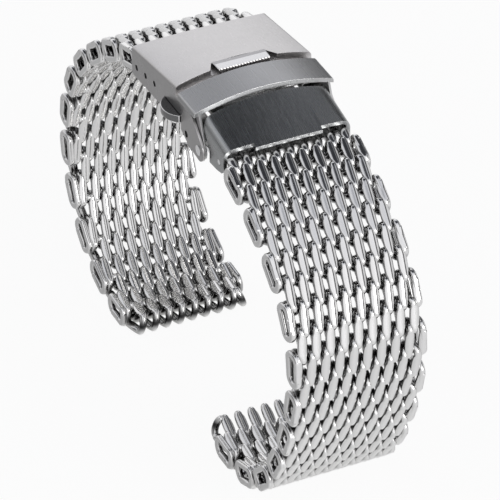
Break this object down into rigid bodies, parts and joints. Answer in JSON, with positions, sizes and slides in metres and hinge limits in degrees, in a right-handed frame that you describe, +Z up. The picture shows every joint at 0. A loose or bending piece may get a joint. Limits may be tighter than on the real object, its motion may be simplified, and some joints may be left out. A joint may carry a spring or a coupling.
{
  "type": "mesh watch bracelet",
  "caption": "Metal watch bracelet of hinged rows of coiled wire mesh, with a folding clasp, safety flap, push buttons and adjustable spring bar",
  "frame": {"origin": "middle of the lowest plane of the whole bracelet as it stands on its two mesh halves with the clasp on top", "axes": "X runs across the strap, Y along the clasp from its end bracket (-Y) to its adjustable end (+Y), Z is up"},
  "size_m": [0.0264, 0.091, 0.0636],
  "materials": {
    "mesh_wire": "polished stainless steel wire, ground and brushed flat on both faces and at the edges",
    "cover_satin": "fine satin stainless steel, brushed along the strap",
    "flap_brushed": "brushed stainless steel with a polished front edge",
    "bracket_satin": "satin stainless steel",
    "blade_steel": "polished stainless steel",
    "button_steel": "satin stainless steel with a polished rim",
    "pin_steel": "polished stainless steel",
    "spring_steel": "bright drawn spring wire"
  },
  "bodies": {
    "lower_blade": {"lower_blade": "blade_steel", "end_bracket": "bracket_satin", "bracket_spring_bar": "pin_steel", "blade_hinge_pin": "pin_steel"},
    "upper_blade": {"upper_blade": "blade_steel"},
    "cover": {"clasp_cover": "cover_satin", "button_guide": "blade_steel", "cover_hinge_pin": "pin_steel", "flap_rivets": "pin_steel", "adjust_spring_bar": "pin_steel", "button_spring": "spring_steel"},
    "flap": {"safety_flap": "flap_brushed"},
    "left_button": {"push_button_left": "button_steel"},
    "right_button": {"push_button_right": "button_steel"},
    "front_row_01": {"front_mesh_row_01": "mesh_wire"},
    "front_row_02": {"front_mesh_row_02": "mesh_wire"},
    "front_row_03": {"front_mesh_row_03": "mesh_wire"},
    "front_row_04": {"front_mesh_row_04": "mesh_wire"},
    "front_row_05": {"front_mesh_row_05": "mesh_wire"},
    "front_row_06": {"front_mesh_row_06": "mesh_wire"},
    "front_row_07": {"front_mesh_row_07": "mesh_wire"},
    "front_row_08": {"front_mesh_row_08": "mesh_wire"},
    "front_row_09": {"front_mesh_row_09": "mesh_wire"},
    "front_row_10": {"front_mesh_row_10": "mesh_wire"},
    "front_row_11": {"front_mesh_row_11": "mesh_wire"},
    "front_row_12": {"front_mesh_row_12": "mesh_wire"},
    "front_row_13": {"front_mesh_row_13": "mesh_wire"},
    "front_row_14": {"front_mesh_row_14": "mesh_wire"},
    "front_row_15": {"front_mesh_row_15": "mesh_wire"},
    "front_row_16": {"front_mesh_row_16": "mesh_wire"},
    "front_row_17": {"front_mesh_row_17": "mesh_wire"},
    "front_row_18": {"front_mesh_row_18": "mesh_wire"},
    "front_row_19": {"front_mesh_row_19": "mesh_wire"},
    "front_row_20": {"front_mesh_row_20": "mesh_wire"},
    "front_row_21": {"front_mesh_row_21": "mesh_wire"},
    "front_row_22": {"front_mesh_row_22": "mesh_wire"},
    "front_row_23": {"front_mesh_row_23": "mesh_wire"},
    "back_row_01": {"back_mesh_row_01": "mesh_wire"},
    "back_row_02": {"back_mesh_row_02": "mesh_wire"},
    "back_row_03": {"back_mesh_row_03": "mesh_wire"},
    "back_row_04": {"back_mesh_row_04": "mesh_wire"},
    "back_row_05": {"back_mesh_row_05": "mesh_wire"},
    "back_row_06": {"back_mesh_row_06": "mesh_wire"},
    "back_row_07": {"back_mesh_row_07": "mesh_wire"},
    "back_row_08": {"back_mesh_row_08": "mesh_wire"},
    "back_row_09": {"back_mesh_row_09": "mesh_wire"},
    "back_row_10": {"back_mesh_row_10": "mesh_wire"},
    "back_row_11": {"back_mesh_row_11": "mesh_wire"},
    "back_row_12": {"back_mesh_row_12": "mesh_wire"},
    "back_row_13": {"back_mesh_row_13": "mesh_wire"},
    "back_row_14": {"back_mesh_row_14": "mesh_wire"},
    "back_row_15": {"back_mesh_row_15": "mesh_wire"},
    "back_row_16": {"back_mesh_row_16": "mesh_wire"},
    "back_row_17": {"back_mesh_row_17": "mesh_wire"},
    "back_row_18": {"back_mesh_row_18": "mesh_wire"},
    "back_row_19": {"back_mesh_row_19": "mesh_wire"},
    "back_row_20": {"back_mesh_row_20": "mesh_wire"},
    "back_row_21": {"back_mesh_row_21": "mesh_wire"},
    "back_row_22": {"back_mesh_row_22": "mesh_wire"},
    "back_row_23": {"back_mesh_row_23": "mesh_wire"}
  },
  "joints": [
    {"name": "blade_hinge", "type": "hinge", "parent": "lower_blade", "child": "upper_blade", "pos_m": [0, 0.00744, 0.05543], "axis": [-1, 0, 0], "range_deg": [0, 170]},
    {"name": "cover_hinge", "type": "hinge", "parent": "upper_blade", "child": "cover", "pos_m": [0, -0.00706, 0.05583], "axis": [-1, 0, 0], "range_deg": [-170, 0]},
    {"name": "flap_hinge", "type": "hinge", "parent": "cover", "child": "flap", "pos_m": [0, -0.01162, 0.05563], "axis": [1, 0, 0], "range_deg": [0, 42]},
    {"name": "left_button_slide", "type": "slide", "parent": "cover", "child": "left_button", "axis": [1, 0, 0], "range_m": [0, 0.001], "stiffness_N_per_m": 300, "springref_m": -0.0008, "deforming": ["button_spring"]},
    {"name": "right_button_slide", "type": "slide", "parent": "cover", "child": "right_button", "axis": [-1, 0, 0], "range_m": [0, 0.001], "stiffness_N_per_m": 300, "springref_m": -0.0008, "deforming": ["button_spring"]},
    {"name": "front_row_01_hinge", "type": "hinge", "parent": "lower_blade", "child": "front_row_01", "pos_m": [0, -0.01716, 0.05663], "axis": [-1, 0, 0], "range_deg": [-4, 0.8]},
    {"name": "front_row_02_hinge", "type": "hinge", "parent": "front_row_01", "child": "front_row_02", "pos_m": [0, -0.02059, 0.05602], "axis": [-1, 0, 0], "range_deg": [-1.2, 8]},
    {"name": "front_row_03_hinge", "type": "hinge", "parent": "front_row_02", "child": "front_row_03", "pos_m": [0, -0.02425, 0.05483], "axis": [-1, 0, 0], "range_deg": [-1.2, 8]},
    {"name": "front_row_04_hinge", "type": "hinge", "parent": "front_row_03", "child": "front_row_04", "pos_m": [0, -0.02771, 0.05314], "axis": [-1, 0, 0], "range_deg": [-1.2, 3.5]},
    {"name": "front_row_05_hinge", "type": "hinge", "parent": "front_row_04", "child": "front_row_05", "pos_m": [0, -0.03106, 0.05125], "axis": [-1, 0, 0], "range_deg": [-1.2, 3.5]},
    {"name": "front_row_06_hinge", "type": "hinge", "parent": "front_row_05", "child": "front_row_06", "pos_m": [0, -0.03429, 0.04915], "axis": [-1, 0, 0], "range_deg": [-1.2, 7]},
    {"name": "front_row_07_hinge", "type": "hinge", "parent": "front_row_06", "child": "front_row_07", "pos_m": [0, -0.03724, 0.04668], "axis": [-1, 0, 0], "range_deg": [-1.2, 7]},
    {"name": "front_row_08_hinge", "type": "hinge", "parent": "front_row_07", "child": "front_row_08", "pos_m": [0, -0.03986, 0.04386], "axis": [-1, 0, 0], "range_deg": [-1.2, 12]},
    {"name": "front_row_09_hinge", "type": "hinge", "parent": "front_row_08", "child": "front_row_09", "pos_m": [0, -0.04185, 0.04056], "axis": [-1, 0, 0], "range_deg": [-1.2, 12]},
    {"name": "front_row_10_hinge", "type": "hinge", "parent": "front_row_09", "child": "front_row_10", "pos_m": [0, -0.0431, 0.03692], "axis": [-1, 0, 0], "range_deg": [-1.2, 12]},
    {"name": "front_row_11_hinge", "type": "hinge", "parent": "front_row_10", "child": "front_row_11", "pos_m": [0, -0.04357, 0.0331], "axis": [-1, 0, 0], "range_deg": [-1.2, 12]},
    {"name": "front_row_12_hinge", "type": "hinge", "parent": "front_row_11", "child": "front_row_12", "pos_m": [0, -0.04324, 0.02926], "axis": [-1, 0, 0], "range_deg": [-1.2, 6.5]},
    {"name": "front_row_13_hinge", "type": "hinge", "parent": "front_row_12", "child": "front_row_13", "pos_m": [0, -0.04247, 0.02549], "axis": [-1, 0, 0], "range_deg": [-1.2, 6.5]},
    {"name": "front_row_14_hinge", "type": "hinge", "parent": "front_row_13", "child": "front_row_14", "pos_m": [0, -0.04128, 0.02183], "axis": [-1, 0, 0], "range_deg": [-1.2, 3]},
    {"name": "front_row_15_hinge", "type": "hinge", "parent": "front_row_14", "child": "front_row_15", "pos_m": [0, -0.0399, 0.01824], "axis": [-1, 0, 0], "range_deg": [-1.2, 3]},
    {"name": "front_row_16_hinge", "type": "hinge", "parent": "front_row_15", "child": "front_row_16", "pos_m": [0, -0.03833, 0.01472], "axis": [-1, 0, 0], "range_deg": [-1.2, 5.5]},
    {"name": "front_row_17_hinge", "type": "hinge", "parent": "front_row_16", "child": "front_row_17", "pos_m": [0, -0.03644, 0.01137], "axis": [-1, 0, 0], "range_deg": [-1.2, 5.5]},
    {"name": "front_row_18_hinge", "type": "hinge", "parent": "front_row_17", "child": "front_row_18", "pos_m": [0, -0.03423, 0.00821], "axis": [-1, 0, 0], "range_deg": [-1.2, 12]},
    {"name": "front_row_19_hinge", "type": "hinge", "parent": "front_row_18", "child": "front_row_19", "pos_m": [0, -0.03141, 0.00559], "axis": [-1, 0, 0], "range_deg": [-1.2, 12]},
    {"name": "front_row_20_hinge", "type": "hinge", "parent": "front_row_19", "child": "front_row_20", "pos_m": [0, -0.02811, 0.00361], "axis": [-1, 0, 0], "range_deg": [-1.2, 12.5]},
    {"name": "front_row_21_hinge", "type": "hinge", "parent": "front_row_20", "child": "front_row_21", "pos_m": [0, -0.02446, 0.00238], "axis": [-1, 0, 0], "range_deg": [-1.2, 12.5]},
    {"name": "front_row_22_hinge", "type": "hinge", "parent": "front_row_21", "child": "front_row_22", "pos_m": [0, -0.02063, 0.00198], "axis": [-1, 0, 0], "range_deg": [-1.2, 7.5]},
    {"name": "front_row_23_hinge", "type": "hinge", "parent": "front_row_22", "child": "front_row_23", "pos_m": [0, -0.01678, 0.00208], "axis": [-1, 0, 0], "range_deg": [-1.2, 7.5]},
    {"name": "back_row_01_hinge", "type": "hinge", "parent": "cover", "child": "back_row_01", "pos_m": [0, 0.01159, 0.05693], "axis": [1, 0, 0], "range_deg": [-4, 4]},
    {"name": "back_row_02_hinge", "type": "hinge", "parent": "back_row_01", "child": "back_row_02", "pos_m": [0, 0.015, 0.05626], "axis": [1, 0, 0], "range_deg": [-1.2, 6]},
    {"name": "back_row_03_hinge", "type": "hinge", "parent": "back_row_02", "child": "back_row_03", "pos_m": [0, 0.01869, 0.05514], "axis": [1, 0, 0], "range_deg": [-1.2, 6]},
    {"name": "back_row_04_hinge", "type": "hinge", "parent": "back_row_03", "child": "back_row_04", "pos_m": [0, 0.02223, 0.05363], "axis": [1, 0, 0], "range_deg": [-1.2, 5.5]},
    {"name": "back_row_05_hinge", "type": "hinge", "parent": "back_row_04", "child": "back_row_05", "pos_m": [0, 0.02561, 0.0518], "axis": [1, 0, 0], "range_deg": [-1.2, 5.5]},
    {"name": "back_row_06_hinge", "type": "hinge", "parent": "back_row_05", "child": "back_row_06", "pos_m": [0, 0.02881, 0.04964], "axis": [1, 0, 0], "range_deg": [-1.2, 4]},
    {"name": "back_row_07_hinge", "type": "hinge", "parent": "back_row_06", "child": "back_row_07", "pos_m": [0, 0.03184, 0.04727], "axis": [1, 0, 0], "range_deg": [-1.2, 4]},
    {"name": "back_row_08_hinge", "type": "hinge", "parent": "back_row_07", "child": "back_row_08", "pos_m": [0, 0.0347, 0.04469], "axis": [1, 0, 0], "range_deg": [-1.2, 6]},
    {"name": "back_row_09_hinge", "type": "hinge", "parent": "back_row_08", "child": "back_row_09", "pos_m": [0, 0.03728, 0.04183], "axis": [1, 0, 0], "range_deg": [-1.2, 6]},
    {"name": "back_row_10_hinge", "type": "hinge", "parent": "back_row_09", "child": "back_row_10", "pos_m": [0, 0.03954, 0.03872], "axis": [1, 0, 0], "range_deg": [-1.2, 8]},
    {"name": "back_row_11_hinge", "type": "hinge", "parent": "back_row_10", "child": "back_row_11", "pos_m": [0, 0.04135, 0.03532], "axis": [1, 0, 0], "range_deg": [-1.2, 8]},
    {"name": "back_row_12_hinge", "type": "hinge", "parent": "back_row_11", "child": "back_row_12", "pos_m": [0, 0.04266, 0.0317], "axis": [1, 0, 0], "range_deg": [-1.2, 9]},
    {"name": "back_row_13_hinge", "type": "hinge", "parent": "back_row_12", "child": "back_row_13", "pos_m": [0, 0.0434, 0.02792], "axis": [1, 0, 0], "range_deg": [-1.2, 9]},
    {"name": "back_row_14_hinge", "type": "hinge", "parent": "back_row_13", "child": "back_row_14", "pos_m": [0, 0.04353, 0.02407], "axis": [1, 0, 0], "range_deg": [-1.2, 8.5]},
    {"name": "back_row_15_hinge", "type": "hinge", "parent": "back_row_14", "child": "back_row_15", "pos_m": [0, 0.0431, 0.02025], "axis": [1, 0, 0], "range_deg": [-1.2, 8.5]},
    {"name": "back_row_16_hinge", "type": "hinge", "parent": "back_row_15", "child": "back_row_16", "pos_m": [0, 0.0421, 0.01653], "axis": [1, 0, 0], "range_deg": [-1.2, 9]},
    {"name": "back_row_17_hinge", "type": "hinge", "parent": "back_row_16", "child": "back_row_17", "pos_m": [0, 0.04053, 0.01301], "axis": [1, 0, 0], "range_deg": [-1.2, 9]},
    {"name": "back_row_18_hinge", "type": "hinge", "parent": "back_row_17", "child": "back_row_18", "pos_m": [0, 0.03844, 0.00979], "axis": [1, 0, 0], "range_deg": [-1.2, 10.5]},
    {"name": "back_row_19_hinge", "type": "hinge", "parent": "back_row_18", "child": "back_row_19", "pos_m": [0, 0.03579, 0.00699], "axis": [1, 0, 0], "range_deg": [-1.2, 10.5]},
    {"name": "back_row_20_hinge", "type": "hinge", "parent": "back_row_19", "child": "back_row_20", "pos_m": [0, 0.03267, 0.00473], "axis": [1, 0, 0], "range_deg": [-1.2, 11]},
    {"name": "back_row_21_hinge", "type": "hinge", "parent": "back_row_20", "child": "back_row_21", "pos_m": [0, 0.02918, 0.0031], "axis": [1, 0, 0], "range_deg": [-1.2, 11]},
    {"name": "back_row_22_hinge", "type": "hinge", "parent": "back_row_21", "child": "back_row_22", "pos_m": [0, 0.02545, 0.00217], "axis": [1, 0, 0], "range_deg": [-1.2, 11]},
    {"name": "back_row_23_hinge", "type": "hinge", "parent": "back_row_22", "child": "back_row_23", "pos_m": [0, 0.0216, 0.00197], "axis": [1, 0, 0], "range_deg": [-1.2, 11]}
  ],
  "couplings": [
    {"joint": "cover_hinge", "follows": "blade_hinge", "ratio": -1}
  ]
}
